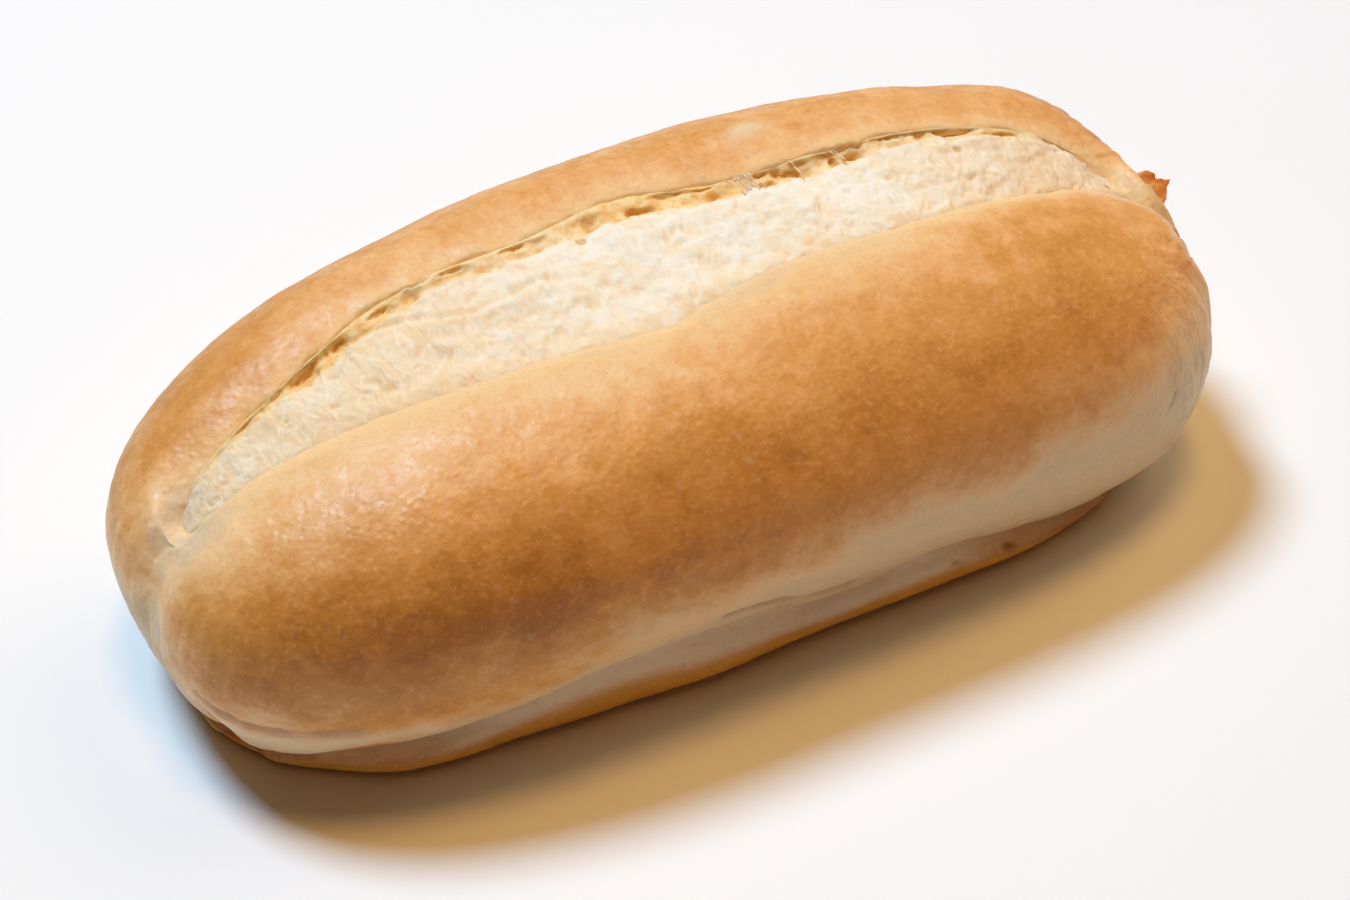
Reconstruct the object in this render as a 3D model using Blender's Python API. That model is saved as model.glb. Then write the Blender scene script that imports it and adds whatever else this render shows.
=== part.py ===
"""Split top hoagie roll, one baked loaf in one piece, standing on its flat bottom."""
import math

import bpy
import numpy as np

MM = 0.001

# Driving sizes in millimetres. Each ring is a loop round the loaf, named from the bottom up. The values are its
# reach to the left end, the right end, the front and the rear, its height at the front, the rear, the left end and
# the right end, and how square its outline is at the left front, the right front and the rear.
RINGS = {
    "hub": (22.0, 22.0, 7.0, 7.0, 0.0, 0.0, 0.0, 0.0, 2.6, 2.6, 2.6),
    "base": (69.1, 62.0, 28.0, 28.6, 0.0, 0.0, 0.0, 0.0, 2.7, 4.2, 2.9),
    "rim": (71.3, 63.9, 30.0, 30.4, 1.6, 1.6, 1.2, 1.0, 2.7, 4.2, 2.9),
    "foot": (71.1, 63.9, 30.2, 30.4, 5.4, 5.0, 2.0, 1.7, 2.7, 4.2, 2.9),
    "crease": (68.5, 62.5, 27.8, 28.2, 9.1, 8.0, 2.6, 2.7, 2.7, 4.0, 2.9),
    "under": (70.5, 65.9, 30.4, 30.2, 9.6, 8.6, 3.0, 3.2, 2.8, 4.0, 2.8),
    "flank": (74.0, 70.4, 33.7, 34.0, 14.8, 14.2, 8.1, 4.9, 3.05, 4.3, 2.65),
    "belt": (77.0, 75.3, 36.8, 36.5, 24.0, 23.5, 21.0, 17.2, 3.0, 3.6, 2.55),
    "upper": (76.0, 74.7, 35.2, 34.6, 34.0, 34.0, 28.5, 27.0, 2.8, 3.4, 2.45),
    "shoulder": (73.4, 72.9, 28.0, 28.4, 42.5, 42.8, 32.5, 33.5, 2.65, 3.5, 2.45),
    "crest": (71.8, 71.2, 17.0, 21.2, 47.0, 47.4, 34.0, 36.0, 2.5, 3.4, 2.35),
    "brow": (70.4, 69.8, 10.2, 15.4, 47.7, 47.8, 33.6, 35.4, 2.4, 3.3, 2.2),
    "lip": (69.6, 69.2, 7.6, 13.0, 46.9, 46.6, 32.8, 34.6, 2.4, 3.2, 2.2),
    "recess": (68.6, 68.4, 6.2, 15.4, 45.8, 43.9, 31.8, 33.6, 2.4, 3.2, 2.2),
    "edge": (67.8, 67.6, 5.4, 13.8, 45.2, 42.7, 31.4, 33.2, 2.4, 3.2, 2.2),
}
# Rows of faces between each ring and the next.
ROWS = (1, 2, 2, 2, 2, 4, 5, 5, 4, 4, 2, 1, 1, 1)
ROWS_IN_SPLIT = 3
ROWS_FADING = 3
AROUND = 144
ACROSS_CRUMB = 8

# The right end bends a little to the front.
BEND = 4.2

# The loaf's back stays level for longer towards the rear right than anywhere else.
DROP = 3.2
DROP_REAR_RIGHT = 6.0

# Waves of the split's front edge and rear lip, and of the crease over the foot. Each is a place along the length,
# how far it spreads and how far it goes, out from the middle of the split or up.
FRONT_WAVES = (
    (-70.0, 8.0, 1.2),
    (-66.0, 4.0, -1.3),
    (-56.0, 7.0, -2.2),
    (-42.0, 6.0, -0.7),
    (-20.0, 8.0, 0.5),
    (-4.0, 9.0, 3.6),
    (1.0, 8.0, -1.3),
    (20.0, 8.0, -0.6),
    (66.0, 22.0, -1.8),
)
REAR_WAVES = (
    (-64.0, 5.0, -1.0),
    (-54.0, 6.0, -1.3),
    (-42.0, 7.0, 0.7),
    (-30.0, 7.0, 1.6),
    (-16.0, 8.0, 0.8),
    (0.0, 7.0, 2.7),
    (14.0, 7.0, -0.7),
    (28.0, 8.0, -0.5),
    (54.0, 7.0, -0.7),
)
CREASE_WAVES = (
    (-66.0, 4.5, -0.9),
    (-60.0, 4.5, 0.8),
    (-52.0, 6.0, -0.6),
    (-28.0, 7.5, 2.5),
    (-16.0, 7.5, 2.1),
    (-2.0, 8.0, 0.9),
    (10.0, 7.5, -1.7),
    (22.0, 7.5, 1.0),
    (40.0, 16.0, -1.0),
    (46.0, 7.5, -1.8),
    (58.0, 7.5, -1.2),
)
FOOT_WAVES = (
    (-70.0, 4.0, 0.4),
    (-63.0, 5.0, -0.9),
    (-53.0, 5.0, 0.7),
    (-45.0, 4.0, 0.3),
    (-36.0, 6.0, -0.8),
    (-22.0, 7.0, -0.6),
    (-8.0, 7.0, 0.6),
    (24.0, 7.0, 0.4),
    (40.0, 7.0, 0.9),
    (54.0, 7.0, 0.8),
)
SPLIT_SHARE = {"crest": 0.45, "brow": 0.85, "lip": 1.0, "recess": 1.0, "edge": 1.0}
CREASE_SHARE = {"foot": 0.6, "crease": 1.0, "under": 1.0, "flank": 0.4}
FOOT_SHARE = {"base": 1.0, "rim": 1.0, "foot": 1.0, "crease": 0.8}

# Blisters (out) and dimples (in) of the crust: place, spread, amount.
SWELLS = (
    ((21.0, 19.0, 48.0), 3.2, 0.6),
    ((33.0, 19.0, 48.0), 3.2, 0.6),
    ((44.0, 20.0, 46.0), 3.8, 0.5),
    ((-12.0, 22.0, 47.0), 4.0, 0.5),
    ((-50.0, -27.0, 2.0), 7.0, -0.9),
    ((-76.0, -4.0, 28.0), 2.6, -0.9),
    ((66.0, -25.0, 30.0), 9.0, 0.6),
    ((-28.0, 24.0, 46.0), 9.0, -0.5),
    ((32.0, 23.0, 47.0), 10.0, -0.5),
    ((50.0, 22.0, 45.0), 9.0, -0.9),
    ((66.0, 20.0, 39.0), 9.0, 1.8),
)

# Folds pressed into the crust: the points that each passes through, its spread and its depth.
FOLDS = (
    (((63.0, -5.0, 38.0), (66.5, -12.0, 38.0), (69.0, -16.0, 36.5), (71.5, -19.0, 33.0), (74.5, -20.0, 27.0)), 1.7, 1.7),
    (((-69.0, -4.0, 34.5), (-73.5, -3.0, 32.0), (-76.0, -3.5, 28.0), (-77.0, -5.0, 23.0)), 2.2, 1.2),
    (((-4.0, -31.0, 11.0), (4.0, -31.6, 11.6), (13.0, -31.8, 11.6)), 1.4, 0.7),
    (((-73.0, -13.0, 13.0), (-69.0, -20.0, 12.0), (-62.0, -26.0, 12.5), (-52.0, -29.5, 13.5)), 1.4, 0.6),
)

# Crumb that fills the split: how it rises from the front edge to the rear, in parts of its width.
CRUMB_AT = (0.0, 0.1, 0.35, 0.6, 0.82, 1.0)
CRUMB_RISE = (0.0, 0.8, 1.5, 2.0, 1.4, 0.0)
CRUMB_FULL_WIDTH = 16.0
CRUMB_LUMPS = 46
CRUMB_LUMP = 0.75

UNEVEN_SPOTS = 150
UNEVEN = 0.32

# Crisp flake that stands off the rear lobe's right end.
FLAKE_AT = (74.1, -3.9, 32.2)
FLAKE_OUT = (0.86, -0.05, 0.50)
FLAKE_SHAPE = ((-3.4, -1.2), (3.2, -1.2), (2.5, 0.9), (1.5, 1.9), (0.6, 1.7), (-0.6, 3.0), (-1.3, 1.9), (-2.4, 1.3))
FLAKE_THICK = 1.1

CRUST_COLOUR = (0.52, 0.27, 0.09, 1.0)


def bump(distance, spread):
    """A soft hill of height one."""
    return np.exp(-0.5 * (distance / spread) ** 2)


def outline(angles, square_left, square_right, square_rear):
    """A rounded oblong of half length and half width one, with its own squareness at each front corner."""
    c = np.cos(angles)
    s = np.sin(angles)
    right = (1 + c) / 2
    rear = (1 + s) / 2
    square = square_rear * rear + (1 - rear) * (square_left * (1 - right) + square_right * right)
    reach = (np.abs(c) ** square + np.abs(s) ** square) ** (-1 / square)
    return reach * c, reach * s


def ring(name, angles):
    """One loop round the loaf."""
    left, right, front, rear, z_front, z_rear, z_left, z_right, *squareness = RINGS[name]
    u, v = outline(angles, *squareness)
    x = np.where(u < 0, left, right) * u
    y = np.where(v < 0, front, rear) * v
    behind = (1 + np.sin(angles)) / 2
    side = z_front + (z_rear - z_front) * behind
    drop = DROP + (DROP_REAR_RIGHT - DROP) * behind * (u > 0)
    z = side + (np.where(u < 0, z_left, z_right) - side) * np.abs(u) ** drop
    to_front = np.clip(-3 * v, 0, 1)
    to_rear = np.clip(3 * v, 0, 1)
    for at, spread, far in CREASE_WAVES:
        z = z + CREASE_SHARE.get(name, 0.0) * far * bump(x - at, spread) * to_front
    for at, spread, far in FOOT_WAVES:
        y = y - FOOT_SHARE.get(name, 0.0) * far * bump(x - at, spread) * to_front
    for at, spread, far in FRONT_WAVES:
        y = y - SPLIT_SHARE.get(name, 0.0) * far * bump(x - at, spread) * to_front
    for at, spread, far in REAR_WAVES:
        y = y + SPLIT_SHARE.get(name, 0.0) * far * bump(x - at, spread) * to_rear
    y = y - BEND * (np.maximum(x, 0) / 80) ** 2
    return np.stack([x, y, z], axis=1)


def sweep(loops, rows):
    """Smooth rows through the loops, from the bottom up."""
    points = np.array(loops)
    points = np.concatenate([2 * points[:1] - points[1:2], points, 2 * points[-1:] - points[-2:-1]])
    out = []
    for i, count in enumerate(rows):
        a, b, c, d = points[i : i + 4]
        t1 = spacing(a, b)
        t2 = t1 + spacing(b, c)
        t3 = t2 + spacing(c, d)
        for k in range(count):
            t = t1 + (t2 - t1) * k / count
            ab = (a * (t1 - t) + b * t) / t1
            bc = (b * (t2 - t) + c * (t - t1)) / (t2 - t1)
            cd = (c * (t3 - t) + d * (t - t2)) / (t3 - t2)
            abc = (ab * (t2 - t) + bc * t) / t2
            bcd = (bc * (t3 - t) + cd * (t - t1)) / (t3 - t1)
            out.append((abc * (t2 - t) + bcd * (t - t1)) / (t2 - t1))
    out.append(points[-2])
    return np.array(out)


def spacing(a, b):
    return np.sqrt(np.maximum(np.linalg.norm(b - a, axis=1), 1e-6))[:, None]


def outward(grid):
    """Unit directions that point out of the loaf, at each point of the swept grid."""
    along = np.roll(grid, -1, axis=1) - np.roll(grid, 1, axis=1)
    up = np.gradient(grid, axis=0)
    normal = np.cross(along, up)
    return normal / np.maximum(np.linalg.norm(normal, axis=2, keepdims=True), 1e-9)


def fold_distance(points, line):
    """How far each point is from a line through the given places."""
    nearest = np.full(points.shape[:-1], 1e9)
    for a, b in zip(line, line[1:]):
        a = np.array(a)
        step = np.array(b) - a
        t = np.clip(((points - a) @ step) / (step @ step), 0, 1)
        gap = np.linalg.norm(points - (a + t[..., None] * step), axis=-1)
        nearest = np.minimum(nearest, gap)
    return nearest


def relief(points):
    """How far the crust stands out at each point: blisters, dimples, folds and an uneven skin."""
    out = np.zeros(points.shape[:-1])
    for at, spread, far in SWELLS:
        out += far * bump(np.linalg.norm(points - np.array(at), axis=-1), spread)
    for line, spread, depth in FOLDS:
        out -= depth * bump(fold_distance(points, line), spread)
    spots = np.random.default_rng(11)
    for _ in range(UNEVEN_SPOTS):
        at = spots.uniform((-80, -38, 4), (80, 38, 50))
        spread = spots.uniform(5, 9)
        far = spots.uniform(-UNEVEN, UNEVEN)
        out += far * bump(np.linalg.norm(points - at, axis=-1), spread)
    return out * np.clip(points[..., 2] / 6, 0, 1)


def crumb(front, rear, across):
    """Points of the crumb between the split's front edge and its rear one."""
    t = np.linspace(0, 1, across + 1)[1:-1]
    width = np.linalg.norm(rear - front, axis=1)[:, None]
    points = front[:, None] * (1 - t)[None, :, None] + rear[:, None] * t[None, :, None]
    fullness = np.minimum(1, width / CRUMB_FULL_WIDTH)
    rise = np.interp(t, CRUMB_AT, CRUMB_RISE)[None]
    lumps = np.zeros(points.shape[:-1])
    spots = np.random.default_rng(23)
    for _ in range(CRUMB_LUMPS):
        at = spots.uniform((-66, -8), (66, 14))
        spread = spots.uniform(2.4, 4.2)
        far = spots.uniform(-1, 1)
        lumps += far * bump(np.linalg.norm(points[..., :2] - at, axis=-1), spread)
    middle = np.clip(4 * t * (1 - t), 0, 1)[None]
    points[..., 2] += fullness * (rise + CRUMB_LUMP * lumps * middle)
    return points


def loaf():
    """Points and faces of the whole loaf, closed, in millimetres."""
    angles = np.linspace(0, 2 * math.pi, AROUND, endpoint=False)
    loops = [ring(name, angles) for name in RINGS]
    body = np.concatenate([loops[:1], sweep(loops[1:], ROWS[1:])])
    on_crust = np.clip((len(body) - ROWS_IN_SPLIT - np.arange(len(body))) / ROWS_FADING, 0, 1)
    body = body + outward(body) * (relief(body) * on_crust[:, None])[..., None]
    rows, around, _ = body.shape
    flat = body.reshape(-1, 3)
    index = np.arange(rows * around).reshape(rows, around)
    faces = [tuple(int(i) for i in index[0][::-1])]
    for low, high in zip(index, index[1:]):
        for j in range(around):
            k = (j + 1) % around
            faces.append((int(low[j]), int(low[k]), int(high[k]), int(high[j])))
    top = index[-1]
    half = around // 2
    stations = np.arange(1, half)
    inner = crumb(flat[top[around - stations]], flat[top[stations]], ACROSS_CRUMB)
    start = len(flat)
    lines = [[int(top[0])] * (ACROSS_CRUMB + 1)]
    for q, j in enumerate(stations):
        first = start + q * (ACROSS_CRUMB - 1)
        between = list(range(first, first + ACROSS_CRUMB - 1))
        lines.append([int(top[around - j])] + between + [int(top[j])])
    lines.append([int(top[half])] * (ACROSS_CRUMB + 1))
    for a, b in zip(lines, lines[1:]):
        for k in range(ACROSS_CRUMB):
            face = tuple(dict.fromkeys((a[k], a[k + 1], b[k + 1], b[k])))
            faces.append(face)
    points = np.concatenate([flat, inner.reshape(-1, 3)])
    return points, faces


def flake():
    """The flake, a thin jagged plate whose foot is sunk in the crust."""
    out = np.array(FLAKE_OUT)
    out = out / np.linalg.norm(out)
    along = np.cross(out, (0.30, 0.72, -0.62))
    along = along / np.linalg.norm(along)
    through = np.cross(out, along)
    points = []
    for side in (-0.5, 0.5):
        for a, b in FLAKE_SHAPE:
            thin = 1.0 - 0.2 * max(b, 0)
            points.append(np.array(FLAKE_AT) + a * along + b * out + side * FLAKE_THICK * thin * through)
    count = len(FLAKE_SHAPE)
    faces = [tuple(range(count))[::-1], tuple(range(count, 2 * count))]
    for i in range(count):
        k = (i + 1) % count
        faces.append((i, k, count + k, count + i))
    return np.array(points), faces


def make(name, points, faces, material):
    mesh = bpy.data.meshes.new(name)
    mesh.from_pydata([tuple(p * MM) for p in points], [], faces)
    mesh.validate()
    mesh.materials.append(material)
    thing = bpy.data.objects.new(name, mesh)
    bpy.context.scene.collection.objects.link(thing)
    return thing


def stand_on_middle(points):
    """The middle of the loaf's underside, which becomes the origin."""
    low = points.min(axis=0)
    high = points.max(axis=0)
    return np.array([(low[0] + high[0]) / 2, (low[1] + high[1]) / 2, low[2]])


def signed_volume(points, faces):
    total = 0.0
    for face in faces:
        for i in range(1, len(face) - 1):
            total += np.dot(points[face[0]], np.cross(points[face[i]], points[face[i + 1]])) / 6
    return total


def main():
    for old in list(bpy.data.objects):
        bpy.data.objects.remove(old, do_unlink=True)

    crust = bpy.data.materials.new("baked_crust")
    crust.use_nodes = True
    shader = crust.node_tree.nodes["Principled BSDF"]
    shader.inputs["Base Color"].default_value = CRUST_COLOUR
    shader.inputs["Roughness"].default_value = 0.6

    points, faces = loaf()
    plate, plate_faces = flake()
    shift = stand_on_middle(np.concatenate([points, plate]))
    if signed_volume(points, faces) < 0:
        faces = [face[::-1] for face in faces]
    roll = make("roll", points - shift, faces, crust)

    if signed_volume(plate, plate_faces) < 0:
        plate_faces = [face[::-1] for face in plate_faces]
    crisp = make("crisp_flake", plate - shift, plate_faces, crust)
    join = roll.modifiers.new("flake", "BOOLEAN")
    join.operation = "UNION"
    join.solver = "EXACT"
    join.object = crisp
    seen = bpy.context.evaluated_depsgraph_get()
    joined = bpy.data.meshes.new_from_object(roll.evaluated_get(seen))
    roll.modifiers.clear()
    roll.data = joined
    bpy.data.objects.remove(crisp, do_unlink=True)
    joined.name = "roll"
    for polygon in joined.polygons:
        polygon.use_smooth = True


main()
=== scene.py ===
"""Split top hoagie roll: its crust, the torn crumb in the split, strands of crumb and one crisp flake."""

import math

import bpy
import numpy as np
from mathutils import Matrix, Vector


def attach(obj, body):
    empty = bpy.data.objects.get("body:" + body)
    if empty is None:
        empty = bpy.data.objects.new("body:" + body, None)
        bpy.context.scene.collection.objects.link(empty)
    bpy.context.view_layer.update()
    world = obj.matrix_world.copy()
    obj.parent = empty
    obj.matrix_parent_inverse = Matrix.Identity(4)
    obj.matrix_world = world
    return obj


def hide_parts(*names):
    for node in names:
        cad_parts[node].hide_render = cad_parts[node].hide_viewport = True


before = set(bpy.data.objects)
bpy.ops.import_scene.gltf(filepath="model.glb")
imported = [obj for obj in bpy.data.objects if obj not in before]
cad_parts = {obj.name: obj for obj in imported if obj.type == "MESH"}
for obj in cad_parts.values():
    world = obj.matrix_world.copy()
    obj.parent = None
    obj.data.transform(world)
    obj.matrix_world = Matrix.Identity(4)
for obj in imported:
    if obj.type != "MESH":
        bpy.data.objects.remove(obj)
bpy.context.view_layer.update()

MM = 0.001

# The loaf's rings are measured from a point near the middle of its underside. This is the middle itself.
MIDDLE = np.array([0.0302, -0.2790, 0.0])

# Each ring is a loop round the loaf, named from the bottom up. The values are its reach to the left end,
# the right end, the front and the rear, its height at the front, the rear, the left end and the right end,
# and how square its outline is at the left front, the right front and the rear.
RINGS = {
    "hub": (22, 22, 7, 7, 0, 0, 0, 0, 2.6, 2.6, 2.6),
    "base": (69.1, 62, 28, 28.6, 0, 0, 0, 0, 2.7, 4.2, 2.9),
    "rim": (71.3, 63.9, 30, 30.4, 1.6, 1.6, 1.2, 1, 2.7, 4.2, 2.9),
    "foot": (71.1, 63.9, 30.2, 30.4, 5.4, 5, 2, 1.7, 2.7, 4.2, 2.9),
    "crease": (68.5, 62.5, 27.8, 28.2, 9.1, 8, 2.6, 2.7, 2.7, 4, 2.9),
    "under": (70.5, 65.9, 30.4, 30.2, 9.6, 8.6, 3, 3.2, 2.8, 4, 2.8),
    "flank": (74, 70.4, 33.7, 34, 14.8, 14.2, 8.1, 4.9, 3.05, 4.3, 2.65),
    "belt": (77, 75.3, 36.8, 36.5, 24, 23.5, 21, 17.2, 3, 3.6, 2.55),
    "upper": (76, 74.7, 35.2, 34.6, 34, 34, 28.5, 27, 2.8, 3.4, 2.45),
    "shoulder": (73.4, 72.9, 28, 28.4, 42.5, 42.8, 32.5, 33.5, 2.65, 3.5, 2.45),
    "crest": (71.8, 71.2, 17, 21.2, 47, 47.4, 34, 36, 2.5, 3.4, 2.35),
    "brow": (70.4, 69.8, 10.2, 15.4, 47.7, 47.8, 33.6, 35.4, 2.4, 3.3, 2.2),
    "lip": (69.6, 69.2, 7.6, 12.3, 46.9, 47.2, 33.2, 35, 2.4, 3.2, 2.2),
    "roll": (69, 68.7, 6.2, 11.95, 45.9, 46.9, 33.1, 34.9, 2.4, 3.2, 2.2),
    "tuck": (68.1, 67.8, 4.8, 11.6, 44.8, 45.8, 32.8, 34.6, 2.4, 3.2, 2.2),
    "trench": (66.2, 66.2, 1.5, 11, 41, 40.5, 32, 33.8, 2.4, 3.2, 2.2),
}
NAMES = list(RINGS)
# Rows of points from each ring to the next, and points round a row.
ROWS = (1, 4, 5, 7, 4, 11, 17, 17, 19, 19, 12, 5, 3, 4, 3)
AROUND = 720
# How far the right end bends to the front, and how late the rings drop towards the ends.
BEND = 4.2
DROP = 3.2
DROP_REAR_RIGHT = 6
# Waves of the split's front and rear edges, the crease and the foot: place, spread and how far.
FRONT_WAVES = (
    (-70, 8, 1.2), (-66, 4, -1.3), (-56, 7, -2.2), (-42, 6, -0.7),
    (-20, 8, 0.5), (-4, 9, 3.6), (1, 8, -1.3), (20, 8, -0.6),
    (66, 22, -1.8),
)
REAR_WAVES = (
    (-64, 5, -1), (-54, 6, -1.3), (-42, 7, 0.7), (-30, 7, 1.6),
    (-16, 8, 0.8), (0, 7, 2.7), (14, 7, -0.7), (28, 8, -0.5),
    (54, 7, -0.7),
)
CREASE_WAVES = (
    (-66, 4.5, -0.9), (-60, 4.5, 0.8), (-52, 6, -0.6), (-28, 7.5, 2.5),
    (-16, 7.5, 2.1), (-2, 8, 0.9), (10, 7.5, -1.7), (22, 7.5, 1),
    (40, 16, -1), (46, 7.5, -1.8), (58, 7.5, -1.2),
)
FOOT_WAVES = (
    (-70, 4, 0.4), (-63, 5, -0.9), (-53, 5, 0.7), (-45, 4, 0.3),
    (-36, 6, -0.8), (-22, 7, -0.6), (-8, 7, 0.6), (24, 7, 0.4),
    (40, 7, 0.9), (54, 7, 0.8),
)
# How far the split's left and right tips lie forward, and the share of each wave that a ring takes.
TIP_FORWARD = (0.8, 2)
SPLIT_SHARE = {"crest": 0.45, "brow": 0.85, "lip": 1, "roll": 1, "tuck": 1, "trench": 1}
CREASE_SHARE = {"foot": 0.6, "crease": 1, "under": 1, "flank": 0.4}
FOOT_SHARE = {"base": 1, "rim": 1, "foot": 1, "crease": 0.8}

# Relief that the frame has as well: blisters and dimples, folds, and an uneven skin.
SWELLS = (
    ((21, 19, 48), 3.2, 0.6), ((33, 19, 48), 3.2, 0.6),
    ((44, 20, 46), 3.8, 0.5), ((-12, 22, 47), 4, 0.5),
    ((-50, -27, 2), 7, -0.9), ((-76, -4, 28), 2.6, -0.9),
    ((66, -25, 30), 9, 0.6), ((-28, 24, 46), 9, -0.5),
    ((32, 23, 47), 10, -0.5), ((50, 22, 45), 9, -0.9),
    ((66, 20, 39), 9, 1.8),
)
FOLDS = (
    (((64.6, -3.6, 38.2), (68, -9, 37.2), (70.2, -12.4, 35.6), (72.4, -14.6, 32.4), (75, -15.8, 26)),
     1.5, 1.7),
    (((-69, -4, 34.5), (-73.5, -3, 32), (-76, -3.5, 28), (-77, -5, 23)), 2.2, 1.2),
    (((-4, -31, 11), (4, -31.6, 11.6), (13, -31.8, 11.6)), 1.4, 0.7),
    (((-73, -13, 13), (-69, -20, 12), (-62, -26, 12.5), (-52, -29.5, 13.5)), 1.4, 0.6),
)
UNEVEN_SPOTS = 150
UNEVEN = 0.32

# How browned the front and the rear are, at places counted in rings from the bottom up.
BROWN_FRONT = (
    (0, 1.4, 2, 2.6, 3.3, 4, 5, 6.1, 6.7, 7.2, 7.8, 8.8, 9.5, 10.1, 10.8, 11.5, 12.2),
    (0.6, 0.8, 0.74, 0.62, 0.14, 0.02, 0, 0.06, 0.26, 0.52, 0.8, 0.76, 0.54, 0.36, 0.27, 0.2, 0.16),
)
BROWN_REAR = (
    (0, 1.4, 2, 2.6, 3.3, 4, 5, 6.1, 7, 8, 9.2, 10.2, 11, 11.6, 12.2),
    (0.6, 0.8, 0.8, 0.66, 0.14, 0.02, 0, 0.08, 0.46, 0.7, 0.62, 0.47, 0.39, 0.3, 0.22),
)
# Places that are browned more or less than the rest: place, spread each way and amount.
BROWNINGS = (
    ((66, -24, 28), (9, 14, 16), -0.4), ((74, 5, 28), (7, 20, 14), -0.1),
    ((68, -24, 10), (10, 10, 6), 0.14), ((-75, -6, 28), (7, 8, 9), -0.55),
    ((-72, 16, 26), (8, 14, 12), -0.15), ((52, -17, 43), (10, 9, 7), 0.24),
    ((-66, 16, 38), (14, 12, 8), 0.16), ((24, -22, 45), (12, 7, 6), 0.12),
    ((71, 10, 36), (6, 9, 6), 0.2), ((60, -14, 41), (9, 7, 5), 0.16),
    ((66, -15, 37), (4, 5, 4), 0.14), ((-56, -24, 37), (9, 9, 6), -0.04),
    ((-56, -30, 17), (20, 9, 6), 0.24), ((-26, -34, 16), (16, 8, 5), 0.1),
    ((24, -34, 17), (26, 8, 6), -0.1), ((44, -32, 30), (12, 8, 8), -0.06),
)

# Lines on the crust: the places that each goes through, how wide it is, how deep it is pressed in, and how
# much it is darkened, turned orange or made pale. The darkening along pressed lines is painted shade in
# their creases and pits; the orange is the crust's own colour.
LINES = (
    (((-74.5, -14.7, 17.5), (-72.4, -18.4, 16.2), (-70.2, -21.3, 15.7), (-68.2, -23.4, 16),
      (-63.5, -26.7, 16), (-58.6, -29.3, 16.7)), 0.6, 0.75, 0.75, 0, 0),
    (((-73.8, -13.5, 13.6), (-70, -20.3, 12), (-66, -23.8, 12.2), (-60, -27.4, 13),
      (-50, -30.8, 14.6)), 1.6, -0.25, 0, 0, 0.85),
    (((-73.2, -13, 11.6), (-72.4, -13.7, 9.8), (-70.8, -12.3, 5.6), (-69.7, -11, 1.6),
      (-68.6, -13.2, 1.3)), 1.7, 1.1, 0, 1, 0),
    (((-68.6, -15.2, 3.4), (-66.2, -19.6, 6.6), (-63.4, -21.7, 7), (-59.9, -24.5, 8.5),
      (-55, -27.2, 9.2)), 1.15, 0.3, 0, 0.95, 0),
    (((-8.7, -34.8, 17.8), (-4.2, -34.6, 17.1), (0.8, -33.8, 14.8), (6.2, -32.3, 12.1), (11, -31.8, 10.6)),
     0.6, 1.4, 1, 0, 0),
    (((44.1, -30.1, 2.8), (48.6, -29.5, 1.7), (52.2, -28.3, 1.4)), 0.4, 0.3, 0.35, 0, 0),
    (((36.6, -30.7, 4.3), (37, -30.7, 4.1)), 0.45, 0.4, 1, 0, 0),
    (((28.4, -30.9, 5), (28.8, -30.9, 4.8)), 0.35, 0.2, 0.7, 0, 0),
    # At the split's left tip and the groove below it: the darkening is painted shade in the grooves, the
    # pale a painted highlight on the ridges.
    (((-75, -2.6, 25.8), (-74.4, -2, 27.9), (-73.6, -1.2, 30.6)), 0.6, 0.5, 0.45, 0, 0),
    (((-74, -1.2, 31.4), (-72.2, -1, 33.2), (-70.2, -0.8, 33.9)), 1.9, 0, 0.15, 0, 0.45),
    (((-72.6, 1.2, 33.2), (-72.9, 0, 32.4)), 0.4, -0.45, 0, 0, 0.85),
    (((-68.4, 2.7, 33.4), (-67, 1.9, 34)), 0.42, -0.4, 0, 0, 0.7),
    (((-66.2, 1.9, 33.4), (-65.2, 1.4, 33.9)), 0.45, 0.5, 0.7, 0, 0),
    (((60.3, -33, 24.4), (59.4, -33.3, 22.6)), 0.35, 0.4, 0.6, 0, 0),
    (((20.4, 16.8, 48.4), (22.8, 17.2, 48.4)), 1.1, -0.25, 0, 0, 0.9),
)

# The valley that the split's left tip runs out in: places, how wide and how deep.
VALLEY = (((-74.2, -1.2, 31.4), (-71, -1, 33.4)), 2.2, 0.9)

# Seams at the ends, where the front lobe stands over the rear one: places from the split's tip down, how far
# the front side stands up and the rear side lies back, and how far each reaches.
SEAMS = (
    (((61.5, -7, 40), (64, -9.1, 38.7), (65.3, -11, 38.1), (66.9, -12.3, 37.1), (68.1, -14.5, 36.2),
      (68.4, -17.6, 36.2), (69.4, -19.6, 34.6), (71.5, -20.6, 31)), 0.45, 1.9, 2.2, 3),
    (((-69, -3.6, 34), (-70.6, -3.9, 33.5), (-72, -2.2, 32.3), (-73.6, -1.6, 30.4), (-74.6, -2.2, 27.4),
      (-75.4, -3, 24.4), (-76.4, -4, 19.7)), 0.25, 0.45, 2.6, 2),
)

# Crumb: stations along the split, rows across it, how far it goes to the left and the right, and the lumps
# that the frame has as well.
CRUMB_STATIONS = 880
CRUMB_ROWS = 96
CRUMB_REACH = (-69.2, 69.1)
CRUMB_LUMPS = 46
CRUMB_LUMP = 0.75
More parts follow.
